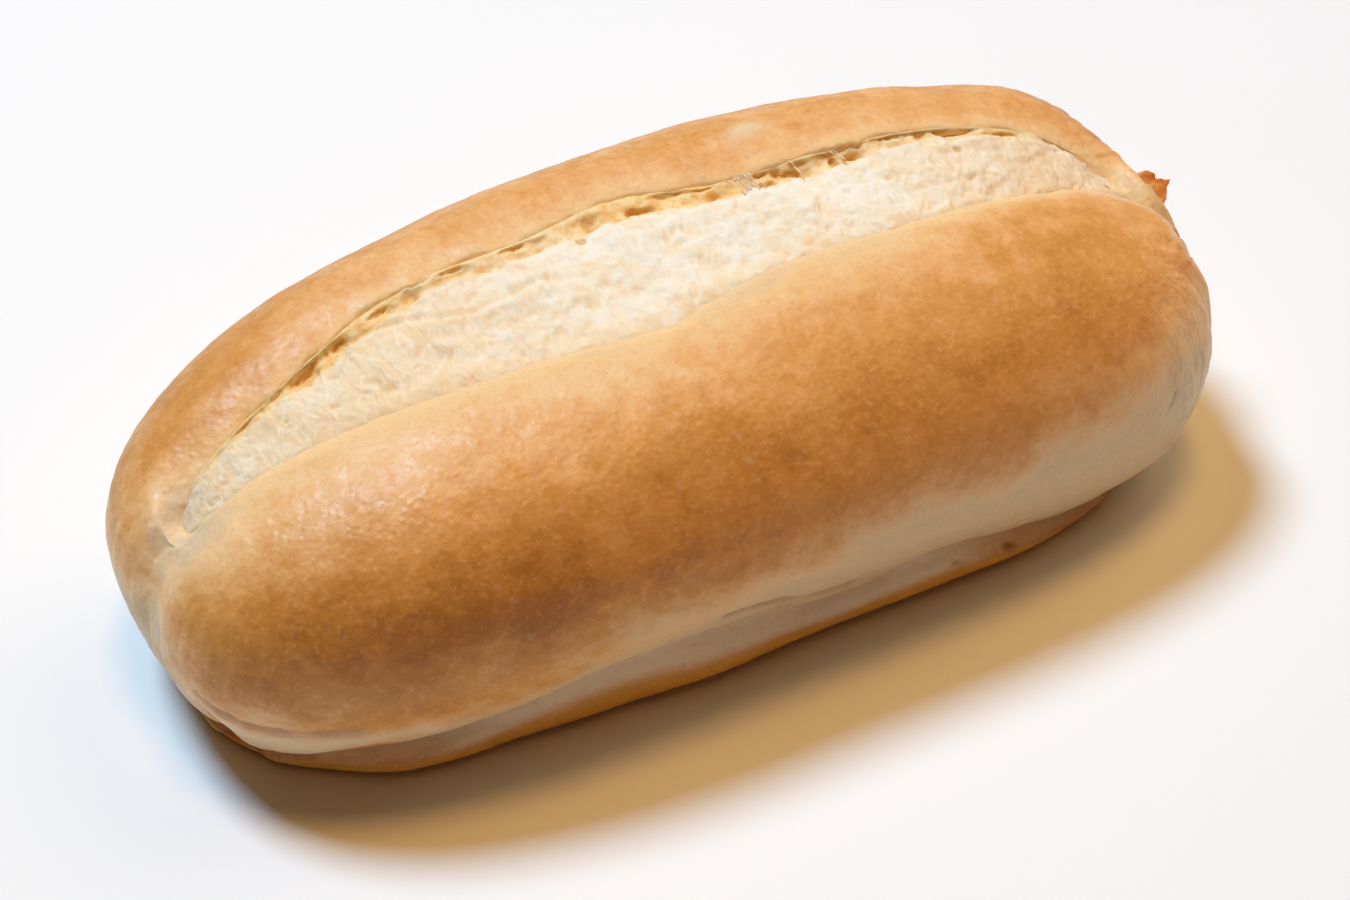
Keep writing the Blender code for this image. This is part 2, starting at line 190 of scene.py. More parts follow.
# Its section from under the front crust, over the crumb, down into the groove and up to the rear lip. Each
# point is a part of the way from the front edge to the lip, and millimetres above the line between them. The
# first of a pair is where the crumb nearly fills the groove, the second where the groove is wide.
SECTION = (
    ((-0.06, -1.9), (-0.06, -1.9)), ((0, -1), (0, -1)),
    ((0.05, -0.55), (0.05, -0.55)), ((0.12, -0.3), (0.12, -0.3)),
    ((0.3, -0.05), (0.3, -0.05)), ((0.55, 0.05), (0.54, 0.05)),
    ((0.8, -0.02), (0.71, -0.15)), ((0.88, -0.06), (0.785, -0.5)),
    ((0.92, -0.08), (0.835, -1)), ((0.955, 0.02), (0.89, -0.74)),
    ((0.985, 0.08), (0.958, -0.16)), ((1.03, -1.2), (1.02, -1.2)),
)
# Where the groove under the rear lip is wide: place along the length, spread and how far.
OPENINGS = (
    (-60, 4, 0.6), (-47, 6, 0.85), (-37, 5, 0.55), (-18, 6, 0.25),
    (2, 7.5, 1), (13, 5, 0.6), (22, 6, 0.5), (33, 5, 0.4),
    (47, 5, 0.25), (56, 3, 0.45),
)
# Pores anywhere, small holes in the groove, and the larger holes: place along the length, part of the way
# across, half length, half width and depth.
PORES = 230
GROOVE_HOLES = 60
HOLES = (
    (-54, 0.99, 1.6, 0.55, 0.8), (-47.2, 0.86, 1.7, 0.75, 1), (-42, 0.89, 1.3, 0.7, 1),
    (-36, 0.92, 1.6, 0.45, 0.7), (-29, 0.97, 1.7, 0.4, 0.6), (-24.6, 0.96, 1.9, 0.4, 0.6),
    (-16, 0.95, 2, 0.4, 0.6), (-7.2, 0.8, 0.8, 0.6, 0.7), (-4.6, 0.85, 1.1, 0.65, 0.8),
    (2.5, 0.85, 1.9, 0.75, 1.3), (6.6, 0.93, 2.4, 0.5, 1.1), (10.4, 0.94, 2.6, 0.5, 1.1),
    (16.5, 0.95, 1.7, 0.4, 0.7), (20, 0.85, 1.6, 0.5, 1.1), (24, 0.89, 1.5, 0.5, 1.1),
    (30.2, 0.88, 0.6, 0.8, 1.1), (32.8, 0.88, 1.4, 0.5, 0.9), (46.2, 0.94, 0.9, 0.55, 0.8),
    (46.8, 0.7, 0.6, 0.7, 0.6), (55, 0.91, 1.7, 0.4, 0.7), (60.4, 0.95, 0.6, 0.5, 0.7),
    (66.6, 0.3, 0.6, 0.55, 1),
)
# A fold in the crumb: places along the length and parts of the way across.
LEDGE = (
    (-40, 0.84), (-33.2, 0.76), (-29.2, 0.62), (-25.5, 0.58), (-21.2, 0.6), (-15.5, 0.62), (-10, 0.55),
)
# How white the crumb is at places along the length.
WHITE = ((-69, -62, -42, -22, -6, 26, 46, 60, 69), (0.3, 0.3, 0.1, 0.5, 1, 1, 0.55, 0.3, 0.2))
# Millimetres that stand for the whole way across the split.
ACROSS = 22

# Threads of crumb across the groove, most of them in one web.
STRANDS = 15
WEB_AT = 18

# Crisp flake that stands off the rear lobe's right end, and its jagged top edge: place along it and height.
FLAKE_AT = (74.1, -3.9, 32.2)
FLAKE_OUT = (0.86, -0.05, 0.5)
FLAKE_TOP = (
    (-3.4, -1), (-2.4, 1.3), (-1.3, 1.9), (-0.6, 3), (0.6, 1.7), (1.5, 1.9), (2.5, 0.9), (3.2, -1),
)

# Soft lights: the way that each comes from, counted from the right end towards the rear and up from the
# floor, how wide it looks, in degrees, its strength and its tint. The key hangs near enough for its shadows
# to spread.
LIGHTS = (
    ("cool_key", 115.6, 65, 15.8, 3.14, (0.55, 0.775, 1)),
    ("warm_top", 20, 86, 15, 0.99, (1, 0.54, 0.14)),
    ("warm_side", 10, 50, 42, 0.8, (1, 0.73, 0.42)),
    ("front_fill", -52, 5, 34, 0.18, (1, 0.67, 0.38)),
)
KEY_AWAY = 2600
# The camera: how far it is turned and looks down, its lens, how far off it is and what it looks at.
YAW, FALL, FOCAL, AWAY = 28, 46, 100, 505
TARGET = np.array([-0.8, -4.8, 17.4])


def bump(distance, spread):
    """A soft hill of height one."""
    return np.exp(-0.5 * (distance / spread) ** 2)


def smooth(low, high, value):
    """Nought below low, one above high, and a soft step between."""
    t = np.clip((value - low) / (high - low), 0, 1)
    return t * t * (3 - 2 * t)


def waves(table, x):
    """The sum of soft hills along the length."""
    return sum(far * bump(x - at, spread) for at, spread, far in table)


def noise(points, size, seed):
    """Smooth noise from about minus one to one. size is the length of a hill, one number or three."""
    rng = np.random.default_rng(seed)
    table = rng.permutation(256)
    slopes = rng.normal(size=(256, 3))
    slopes /= np.linalg.norm(slopes, axis=1, keepdims=True)
    place = np.asarray(points, float) / np.asarray(size, float) + rng.uniform(0, 200, 3)
    cell = np.floor(place).astype(int)
    part = place - cell
    ease = part**3 * (part * (part * 6 - 15) + 10)
    total = np.zeros(place.shape[:-1])
    for i in (0, 1):
        for j in (0, 1):
            for k in (0, 1):
                key = table[(cell[..., 0] + i) % 256]
                key = table[(key + cell[..., 1] + j) % 256]
                key = table[(key + cell[..., 2] + k) % 256]
                lean = (slopes[key] * (part - np.array([i, j, k]))).sum(-1)
                wx = ease[..., 0] if i else 1 - ease[..., 0]
                wy = ease[..., 1] if j else 1 - ease[..., 1]
                wz = ease[..., 2] if k else 1 - ease[..., 2]
                total += wx * wy * wz * lean
    return total * 1.7


def outline(angles, square_left, square_right, square_rear):
    """A rounded oblong of half length and half width one, with its own squareness at each front corner."""
    c = np.cos(angles)
    s = np.sin(angles)
    right = (1 + c) / 2
    rear = (1 + s) / 2
    square = square_rear * rear + (1 - rear) * (square_left * (1 - right) + square_right * right)
    reach = (np.abs(c) ** square + np.abs(s) ** square) ** (-1 / square)
    return reach * c, reach * s


def ring(name, angles):
    """One loop round the loaf."""
    left, right, front, rear, z_front, z_rear, z_left, z_right, *squareness = RINGS[name]
    u, v = outline(angles, *squareness)
    x = np.where(u < 0, left, right) * u
    y = np.where(v < 0, front, rear) * v
    behind = (1 + np.sin(angles)) / 2
    side = z_front + (z_rear - z_front) * behind
    drop = DROP + (DROP_REAR_RIGHT - DROP) * behind * (u > 0)
    z = side + (np.where(u < 0, z_left, z_right) - side) * np.abs(u) ** drop
    to_front = np.clip(-3 * v, 0, 1)
    to_rear = np.clip(3 * v, 0, 1)
    split = SPLIT_SHARE.get(name, 0.0)
    z = z + CREASE_SHARE.get(name, 0.0) * waves(CREASE_WAVES, x) * to_front
    y = y - FOOT_SHARE.get(name, 0.0) * waves(FOOT_WAVES, x) * to_front
    y = y - split * waves(FRONT_WAVES, x) * to_front
    y = y + split * waves(REAR_WAVES, x) * to_rear
    y = y - split * (TIP_FORWARD[0] * smooth(-60, -69, x) + TIP_FORWARD[1] * smooth(57, 68, x))
    y = y - BEND * (np.maximum(x, 0) / 80) ** 2
    return np.stack([x, y, z], axis=1)


def spacing(a, b):
    return np.sqrt(np.maximum(np.linalg.norm(b - a, axis=1), 1e-6))[:, None]


def sweep(loops, rows):
    """Smooth rows through the loops, from the bottom up, and the place of each row between the loops."""
    points = np.array(loops)
    points = np.concatenate([2 * points[:1] - points[1:2], points, 2 * points[-1:] - points[-2:-1]])
    out = []
    level = []
    for i, count in enumerate(rows):
        a, b, c, d = points[i : i + 4]
        t1 = spacing(a, b)
        t2 = t1 + spacing(b, c)
        t3 = t2 + spacing(c, d)
        for k in range(count):
            t = t1 + (t2 - t1) * k / count
            ab = (a * (t1 - t) + b * t) / t1
            bc = (b * (t2 - t) + c * (t - t1)) / (t2 - t1)
            cd = (c * (t3 - t) + d * (t - t2)) / (t3 - t2)
            abc = (ab * (t2 - t) + bc * t) / t2
            bcd = (bc * (t3 - t) + cd * (t - t1)) / (t3 - t1)
            out.append((abc * (t2 - t) + bcd * (t - t1)) / (t2 - t1))
            level.append(i + k / count)
    out.append(points[-2])
    level.append(len(rows))
    return np.array(out), np.array(level)


def outward(grid, closed=True):
    """Unit directions that point out of the loaf, at each point of a grid whose rows go up."""
    if closed:
        along = np.roll(grid, -1, axis=1) - np.roll(grid, 1, axis=1)
    else:
        along = np.gradient(grid, axis=1)
    normal = np.cross(along, np.gradient(grid, axis=0))
    return normal / np.maximum(np.linalg.norm(normal, axis=2, keepdims=True), 1e-9)


def stretches(points, line):
    """For each stretch of a line, the way from it to each point, and the way that the stretch goes."""
    for a, b in zip(line, line[1:]):
        a = np.array(a)
        step = np.array(b) - a
        t = np.clip(((points - a) @ step) / (step @ step), 0, 1)
        yield points - (a + t[..., None] * step), step


def line_distance(points, line):
    """How far each point is from a line through the given places."""
    return np.min([np.linalg.norm(away, axis=-1) for away, _ in stretches(points, line)], axis=0)


def seam(points, normal, line, up, down, near_front, near_rear):
    """A step along a line, the points in front of it, and how far each is. The front side stands up."""
    nearest = np.full(points.shape[:-1], 1e9)
    side = np.zeros(points.shape[:-1])
    for away, step in stretches(points, line):
        gap = np.linalg.norm(away, axis=-1)
        across = (np.cross(normal, step / np.linalg.norm(step)) * away).sum(-1)
        side = np.where(gap < nearest, across, side)
        nearest = np.minimum(nearest, gap)
    ends = 1 - smooth(0.0, 3.0, nearest - np.abs(side))
    front = smooth(-0.35, 0.35, side)
    step = front * up * np.exp(-nearest / near_front) - (1 - front) * down * bump(nearest, near_rear)
    return ends * step, front, nearest


def relief(points):
    """How far the crust stands out at each point, as in the frame: blisters, folds and an uneven skin."""
    out = np.zeros(points.shape[:-1])
    for at, spread, far in SWELLS:
        out += far * bump(np.linalg.norm(points - np.array(at), axis=-1), spread)
    for line, spread, depth in FOLDS:
        out -= depth * bump(line_distance(points, line), spread)
    spots = np.random.default_rng(11)
    for _ in range(UNEVEN_SPOTS):
        at = spots.uniform((-80, -38, 4), (80, 38, 50))
        spread = spots.uniform(5, 9)
        far = spots.uniform(-UNEVEN, UNEVEN)
        out += far * bump(np.linalg.norm(points - at, axis=-1), spread)
    return out * np.clip(points[..., 2] / 6, 0, 1)


def even_angles(count):
    """Angles round the loaf, evenly spaced along the belt ring, as many in front as behind."""
    out = []
    for start in (0.0, math.pi):
        dense = np.linspace(start, start + math.pi, 4001)
        steps = np.linalg.norm(np.diff(ring("belt", dense), axis=0), axis=1)
        length = np.concatenate([[0], np.cumsum(steps)])
        out.append(np.interp(np.arange(count // 2) / (count // 2) * length[-1], length, dense))
    return np.concatenate(out)


def build(name, points, faces, material, values):
    """A mesh object in the frame's own coordinates, with numbers at its points for its material."""
    mesh = bpy.data.meshes.new(name)
    mesh.from_pydata([tuple(p) for p in (points - MIDDLE) * MM], [], faces)
    mesh.validate()
    for label, numbers in values.items():
        layer = mesh.attributes.new(label, "FLOAT", "POINT")
        layer.data.foreach_set("value", np.asarray(numbers, np.float32).ravel())
    mesh.polygons.foreach_set("use_smooth", [True] * len(mesh.polygons))
    mesh.materials.append(material)
    thing = bpy.data.objects.new(name, mesh)
    bpy.context.scene.collection.objects.link(thing)
    return thing


def side_of(name, rear):
    """The front or rear half of a ring as numbers along the length: x rising, y and z."""
    angles = np.linspace(0, math.pi, 2001) if rear else np.linspace(math.pi, 2 * math.pi, 2001)
    half = ring(name, angles)
    return half[np.argsort(half[:, 0])]


# The crust.


def crust_grid():
    angles = even_angles(AROUND)
    loops = [ring(name, angles) for name in RINGS]
    body, level = sweep(loops[1:], ROWS[1:])
    body = np.concatenate([loops[:1], body])
    level = np.concatenate([[0.0], level + 1])
    return body, level


def crust_detail(points, level):
    """Smaller relief than the frame has, in millimetres."""
    x, y, z = points[..., 0], points[..., 1], points[..., 2]
    out = 0.13 * noise(points, 7.0, 1) + 0.06 * noise(points, 3.2, 2) + 0.035 * noise(points, 1.6, 3)
    right = smooth(50, 66, x) * smooth(8, 14, z) * (1 - smooth(36, 42, z))
    left = smooth(-60, -72, x) * smooth(6, 14, z) * (1 - smooth(30, 36, z))
    turned = np.arctan2(y, x / 2) * 60
    thin = np.stack([turned, np.zeros_like(turned), z], axis=-1)
    creases = noise(thin, (2.6, 1.0, 15.0), 4) + 0.6 * noise(thin, (1.4, 1.0, 9.0), 5)
    out += 0.26 * creases * right + 0.1 * creases * left
    foot = smooth(2.2, 3.0, level) * (1 - smooth(4.6, 5.6, level))
    streaks = noise(points, (6.0, 6.0, 0.9), 6) + 0.5 * noise(points, (3.0, 3.0, 0.6), 7)
    out += 0.24 * streaks * foot
    under = smooth(4.6, 5.2, level) * (1 - smooth(6.2, 7.2, level))
    out += 0.14 * noise(points, (7.0, 7.0, 1.5), 8) * under
    return out


def line_values(points):
    """How far the crust is pressed in at its lines, and how much painted crease shade, orange or pale they
    add.
    """
    out = {name: np.zeros(points.shape[:-1]) for name in ("pressed", "line", "orange", "pale")}
    wobble = np.stack([noise(points, 3.5, seed) for seed in (71, 72, 73)], axis=-1)
    moved = points + 0.45 * wobble
    for line, spread, depth, dark, orange, pale in LINES:
        near = bump(line_distance(moved, line), spread)
        out["pressed"] += depth * near
        for name, share in (("line", dark), ("orange", orange), ("pale", pale)):
            out[name] = np.maximum(out[name], share * near)
    return out


def make_crust(material):
    body, level = crust_grid()
    levels = np.repeat(level[:, None], body.shape[1], axis=1)
    on_crust = np.interp(level, (NAMES.index("crest"), NAMES.index("lip")), (1, 0))[:, None]
    normal = outward(body)
    fine = crust_detail(body, levels) * smooth(0.9, 2.2, levels) * np.clip(on_crust + 0.35, 0, 1)
    fine *= 1 - smooth(NAMES.index("roll"), NAMES.index("tuck"), levels)
    crust_lines = line_values(body)
    fine -= crust_lines["pressed"] * smooth(0.9, 2.2, levels)
    for line, *reach in SEAMS:
        turn = 1 if line[0][0] < 0 else -1
        step, front, gap = seam(body, normal * turn, line, *reach)
        fine += step
        if turn < 0:
            # At the right seam: a painted shadow line just behind the front lobe's edge, a painted highlight
            # along the edge, and behind it golden olive that is partly the rear lobe's own colour and partly
            # painted shade.
            crust_lines["line"] = np.maximum(crust_lines["line"], 0.62 * (1 - front) * bump(gap, 0.75))
            crust_lines["pale"] = np.maximum(crust_lines["pale"], 0.95 * bump(gap - 0.45, 0.6) * front)
            behind_seam = (1 - front) * smooth(61, 65, body[..., 0]) * (levels > 8)
            crust_lines["olive_and_shade"] = behind_seam * (1 - smooth(4.5, 9.5, gap))
    valley = VALLEY[2] * bump(line_distance(body, VALLEY[0]), VALLEY[1])
    body = body + normal * (relief(body) * on_crust + fine)[..., None]
    body[..., 2] -= valley

    # The split's edges are ragged, the rear lip more than the front edge.
    near = smooth(NAMES.index("crest") + 0.3, NAMES.index("lip"), levels)
    near *= 1 - smooth(NAMES.index("roll") + 0.3, NAMES.index("tuck"), levels)
    along = np.stack([body[..., 0], np.sign(body[..., 1]) * 9, np.zeros_like(levels)], axis=-1)
    rear = body[..., 1] > 3.5
    jag = 0.55 * noise(along, 7.0, 9) + 0.4 * noise(along, 2.6, 10) + 0.22 * noise(along, 1.1, 11)
    middle = 1 - smooth(60, 68, np.abs(body[..., 0]))
    body[..., 1] += near * middle * np.where(rear, 0.95 * jag, 0.55 * jag)
    body[..., 2] += near * middle * np.where(rear, 0.35, 0.15) * noise(along, 4.0, 12)

    # At both tips the split closes: its floor comes up to the lip.
    lip = int(np.argmin(np.abs(level - NAMES.index("lip"))))
    shut = smooth(-62.5, -65.8, body[..., 0]) + smooth(61.5, 65.0, body[..., 0])
    shut[: lip + 1] = 0
    body[..., 2] += shut * (body[lip, :, 2] - 0.05 - body[..., 2])

    rows, around, _ = body.shape
    index = np.arange(rows * around).reshape(rows, around)
    faces = [tuple(int(i) for i in index[0][::-1])]
    low, high = index[:-1], index[1:]
    quads = np.stack([low, np.roll(low, -1, 1), np.roll(high, -1, 1), high], axis=-1).reshape(-1, 4)
    faces += quads.tolist()
    top = index[-1]
    half = around // 2
    for j in range(half):
        a, b = int(top[(around - j) % around]), int(top[(around - j - 1) % around])
        c, d = int(top[j + 1]), int(top[j])
        faces.append(tuple(dict.fromkeys((a, d, c, b)))[::-1])
    values = crust_values(body, levels)
    values["inside"] = values["inside"] * (1 - shut)
    values.update({name: crust_lines[name] for name in ("line", "orange", "pale", "olive_and_shade")})
    return build("roll_crust", body.reshape(-1, 3), faces, material, values)


def crust_values(points, level):
    """What the crust's material needs to know at each point: how browned, how yellow, how near the foot."""
    x, y, z = points[..., 0], points[..., 1], points[..., 2]
    wander = noise(points, 16.0, 21) * 0.6 + noise(points, 7.0, 22) * 0.4
    place = level + wander * np.interp(level, (0, 2, 3, 5, 6), (0.1, 0.12, 0.2, 0.2, 0.3))
    behind = smooth(-6, 10, y)
    browned = np.interp(place, *BROWN_FRONT) * (1 - behind) + np.interp(place, *BROWN_REAR) * behind
    # The front's middle band is browned more towards the left end and less towards the right: painted shade
    # on the left, painted light on the right.
    side = smooth(5.6, 6.6, level) * (1 - smooth(8.0, 9.2, level)) * (1 - behind)
    browned = browned + side * np.interp(x, (-62, -40, -15, 10, 40), (0.12, 0.16, 0.02, -0.08, -0.18))
    for at, spread, far in BROWNINGS:
        gap = np.linalg.norm((points - np.array(at)) / np.array(spread), axis=-1)
        browned = browned + far * bump(gap, 1.0) * (level > 4.4)
    browned = browned + 0.09 * wander * (level > 5.5)
    foot = smooth(2.45, 3.0, place) * (1 - smooth(4.7, 5.3, place))
    baked = np.clip(1 - smooth(-50, -40, x) + smooth(24, 36, x), 0, 1) * (1 - behind)
    baked = baked * (1 - 0.5 * smooth(3.0, 4.2, place))
    browned = browned + 0.15 * baked * foot
    foot = foot * (1 - 0.92 * baked)
    flank = smooth(4.6, 5.4, level) * (1 - smooth(7.2, 8.4, level)) * (1 - behind) * smooth(-72, -64, x)
    return {
        "ends": smooth(52, 66, x) * smooth(5.2, 6.0, level) * (1 - smooth(8.6, 9.6, level)),
        "flank": flank,
        "browned": np.clip(browned, 0, 1.2),
        "yellow": smooth(10.9, 12.0, place) * (1 - 0.75 * behind),
        "foot": foot,
        "rim": smooth(0.8, 1.4, level) * (1 - smooth(2.25, 3.0, place)),
        "bottom": 1 - smooth(0.9, 1.4, level),
        "inside": smooth(12.3, 13.0, level),
    }


# The crumb.


def crumb_sheet():
    """The crumb's top as a grid: rows across the split, stations along it, from tip to tip."""
    front, rear = side_of("lip", False), side_of("lip", True)
    share = np.linspace(-1, 1, CRUMB_STATIONS)
    share = 0.8 * share + 0.2 * np.sin(math.pi / 2 * share)
    x = np.interp(share, (-1, 1), CRUMB_REACH)
    fore, back = (
        np.stack([np.interp(x, side[:, 0], side[:, k]) for k in range(3)], -1) for side in (front, rear)
    )
    width = back[:, 1] - fore[:, 1]
    full = np.clip(width / 17, 0, 1) ** 0.8
    line = np.stack([x, x * 0, x * 0], axis=1)
    opened = np.clip(waves(OPENINGS, x) + 0.14 * noise(line, 5.0, 30), 0, 1) * full
    shut, wide = np.array(SECTION)[:, 0], np.array(SECTION)[:, 1]
    section = shut[:, None] + (wide - shut)[:, None] * opened[None, :, None]
    ragged = 0.018 * noise(line, 5.0, 45) + 0.014 * noise(line, 1.8, 46) + 0.008 * noise(line, 0.8, 47)
    section[6:9, :, 0] += ragged
    lines = fore + (back - fore) * section[..., :1]
    tips = smooth(-65.0, -69.2, x) + smooth(63.0, 67.6, x)
    lines[..., 2] += section[..., 1] * full + 0.16 * (1 - full) - 0.62 * tips
    steps = np.linalg.norm(np.diff(lines[:, CRUMB_STATIONS // 2], axis=0), axis=1)
    steps *= np.array([0.7] + [1.0] * 5 + [1.6] * 5)
    at = np.concatenate([[0], np.cumsum(steps)])
    dense = np.linspace(0, at[-1], CRUMB_ROWS)
    sheet = np.concatenate([lines, section[..., :1]], axis=-1)
    sheet = np.concatenate([2 * sheet[:1] - sheet[1:2], sheet, 2 * sheet[-1:] - sheet[-2:-1]])
    out = []
    for d in dense:
        i = min(int(np.searchsorted(at, d, side="right")) - 1, len(at) - 2)
        t = (d - at[i]) / (at[i + 1] - at[i])
        a, b, c, e = sheet[i : i + 4]
        curve = (2 * a - 5 * b + 4 * c - e) * t * t + (3 * b - a - 3 * c + e) * t**3
        out.append(0.5 * (2 * b + (c - a) * t + curve))
    grid = np.array(out)
    part = np.interp(dense, at, np.arange(len(at)))
    return grid[..., :3], grid[..., 3], part, full, opened


def lumps(points):
    """The same lumps as the frame's crumb."""
    out = np.zeros(points.shape[:-1])
    spots = np.random.default_rng(23)
    for _ in range(CRUMB_LUMPS):
        at = spots.uniform((-66, -8), (66, 14))
        spread = spots.uniform(2.4, 4.2)
        far = spots.uniform(-1, 1)
        out += far * bump(np.linalg.norm(points[..., :2] - at, axis=-1), spread)
    return out * CRUMB_LUMP


def blur(field, times):
    for _ in range(times):
        padded = np.pad(field, 1, mode="edge")
        field = (padded[:-2, 1:-1] + padded[2:, 1:-1] + padded[1:-1, :-2] + padded[1:-1, 2:]) / 4
    return field


def make_crumb(material):
    grid, across, part, full, opened = crumb_sheet()
    part = np.repeat(part[:, None], grid.shape[1], axis=1)
    full = np.repeat(full[None], grid.shape[0], axis=0)
    normal = -outward(grid, closed=False)
    normal *= np.sign(normal[20, CRUMB_STATIONS // 2, 2])
    warp = np.stack([noise(grid, 2.6, 31), noise(grid, 2.6, 32), noise(grid, 2.6, 33)], axis=-1)
    moved = grid + warp
    soft = noise(moved, (6.5, 4.5, 4.5), 42) * 0.46 + noise(moved, (3.0, 2.6, 2.6), 43) * 0.26
    tufts = 0.15 * noise(moved, (1.2, 1.8, 1.5), 38) + 0.1 * noise(moved, (0.6, 0.9, 0.75), 39)
    hairs = 0.6 - 2 * np.abs(noise(moved, (0.9, 4.0, 3.0), 36))
    hairs += 0.6 * (0.6 - 2 * np.abs(noise(moved, (0.55, 2.4, 2.0), 37)))
    ripple = 0.5 + 0.5 * noise(grid, 7.0, 44)
    height = lumps(grid) * 0.7 + soft + tufts + (0.025 + 0.045 * ripple) * hairs

    # The fold, and beyond it a step down towards the groove.
    flat = np.stack([grid[..., 0], across * ACROSS, across * 0], axis=-1)
    ledge = line_distance(flat, [(x, u * ACROSS, 0.0) for x, u in LEDGE])
    height -= 0.5 * bump(ledge, 0.45) - 0.3 * bump(ledge, 1.5)

    # Small pores anywhere, and the groove's holes.
    # The holes' mask also paints shade inside them.
    hole = np.zeros(part.shape)
    rng = np.random.default_rng(41)
    for _ in range(PORES):
        row = int(rng.integers(12, 78))
        station = int(rng.integers(20, CRUMB_STATIONS - 20))
        near = slice(max(station - 24, 0), station + 24)
        gap = np.linalg.norm((grid[:, near] - grid[row, station]) / np.array([1.3, 1.0, 1.0]), axis=-1)
        height[:, near] -= rng.uniform(0.08, 0.32) * bump(gap, rng.uniform(0.22, 0.45))
    for x, u, long, wide, depth in HOLES:
        gap = np.hypot((grid[..., 0] - x) / long, (across - u) * ACROSS * np.maximum(full, 0.3) / wide)
        gap = gap + 0.22 * noise(moved, 0.9, 48)
        dent = 1 - smooth(0.55, 1.25, gap)
        height -= 0.65 * depth * dent
        hole = np.maximum(hole, dent)
    for _ in range(GROOVE_HOLES):
        x, u = rng.uniform(-64, 64), rng.uniform(0.86, 0.98)
        size = rng.uniform(0.3, 0.6)
        gap = np.hypot((grid[..., 0] - x) / (size * rng.uniform(1.2, 3.0)), (across - u) * ACROSS / size)
        height -= rng.uniform(0.3, 0.8) * bump(gap, 1.0) * full
        hole = np.maximum(hole, 0.45 * bump(gap, 1.0))

    valley = VALLEY[2] * bump(line_distance(grid, VALLEY[0]), VALLEY[1])
    edge = smooth(0.6, 1.6, part) * (1 - smooth(9.0, 10.2, part))
    height = height * (0.3 + 0.7 * full) * (0.25 + 0.75 * edge)
    # How far each point lies below its blurred surroundings: the material paints shade in these hollows.
    deep = blur(height, 50) - height
    top = grid + normal * (height - valley)[..., None]

    bottom = np.stack([grid[-1] + (0, 0.4, -5.0), grid[0] + (0, 2.5, -3.4)])
    every = np.concatenate([top, bottom])
    index = np.arange(every.size // 3).reshape(every.shape[:2])
    ring_index = np.concatenate([index, index[:1]])
    low, high = ring_index[:-1], ring_index[1:]
    faces = np.stack([low[:, :-1], low[:, 1:], high[:, 1:], high[:, :-1]], axis=-1).reshape(-1, 4).tolist()
    faces.append(index[:, 0].tolist())
    faces.append(index[::-1, -1].tolist())

    uneven = part + 0.5 * noise(moved, 1.6, 49)
    groove = smooth(6.5, 7.6, uneven) * (0.58 + 0.42 * opened)
    white = np.clip(np.interp(grid[..., 0], *WHITE) + 0.35 * noise(moved, 6.0, 50), 0, 1)
    values = {
        "deep": deep,
        "hairs": hairs,
        "hole": hole,
        "white": white,
        "groove": groove,
        "margin": 1 - smooth(2.6, 4.3, uneven),
        "narrow": 1 - full,
    }
    for name, field in values.items():
        hidden = np.full((2, CRUMB_STATIONS), 1.0 if name == "groove" else 0.0)
        values[name] = np.concatenate([field, hidden])
    return build("roll_crumb", every.reshape(-1, 3), faces, material, values)


def make_strands(material):
    """Thin threads of torn crumb that still reach from the crumb to the rear lip."""
    grid, across, part, full, opened = crumb_sheet()
    lip = side_of("roll", True)
    rng = np.random.default_rng(51)
    points, faces = [], []
    sides, steps = 6, 12
    around = np.linspace(0, 2 * math.pi, sides, endpoint=False)
    made = 0
    while made < STRANDS:
        web = made % 5 < 4
        if web:
            station = int(np.argmin(np.abs(grid[40, :, 0] - WEB_AT - rng.normal(0, 1.1))))
        else:
            station = int(rng.integers(390, CRUMB_STATIONS - 230))
            if rng.random() > opened[station] + 0.05:
                continue
        made += 1
        row = int(np.argmin(np.abs(part - rng.uniform(6.6, 7.6))))
        low = grid[row, station] + (0, 0, 0.05)
        x = low[0] + rng.uniform(-1.6, 0.6)
        high = np.array([np.interp(x, lip[:, 0], lip[:, k]) for k in range(3)]) + (0, 0.4, -0.1)
        t = np.linspace(0, 1, steps)[:, None]
        line = low * (1 - t) + high * t
        line = line + np.sin(math.pi * t) * rng.normal(0, 0.2, 3)
        line = line + np.sin(2 * math.pi * t) * rng.normal(0, 0.1, 3)
        line[:, 2] += 0.25 * np.sin(math.pi * t[:, 0])
        thick = rng.uniform(0.022, 0.045) * (1 + 2.2 * np.abs(2 * t - 1) ** 2.5)
        way = high - low
        way = way / np.linalg.norm(way)
        one = np.cross(way, (0.3, 0.2, 0.9))
        one = one / np.linalg.norm(one)
        two = np.cross(way, one) * rng.uniform(1.0, 2.4)
        start = len(points)
        for at, wide in zip(line, thick[:, 0]):
            points += [at + wide * (math.cos(a) * one + math.sin(a) * two) for a in around]
        for i in range(steps - 1):
            for k in range(sides):
                a, b = start + i * sides + k, start + i * sides + (k + 1) % sides
                faces.append((a, b, b + sides, a + sides))
        faces.append(tuple(range(start, start + sides))[::-1])
        faces.append(tuple(range(start + (steps - 1) * sides, start + steps * sides)))
    points = np.array(points)
    flat = np.zeros(len(points))
    # The threads take nearly all of the crumb's painted fibre highlight.
    values = {"deep": flat, "hairs": flat + 0.9, "hole": flat, "white": flat + 1.0, "groove": flat + 0.22}
    values.update(margin=flat, narrow=flat)
    return build("crumb_strands", points, faces, material, values)


# The flake.


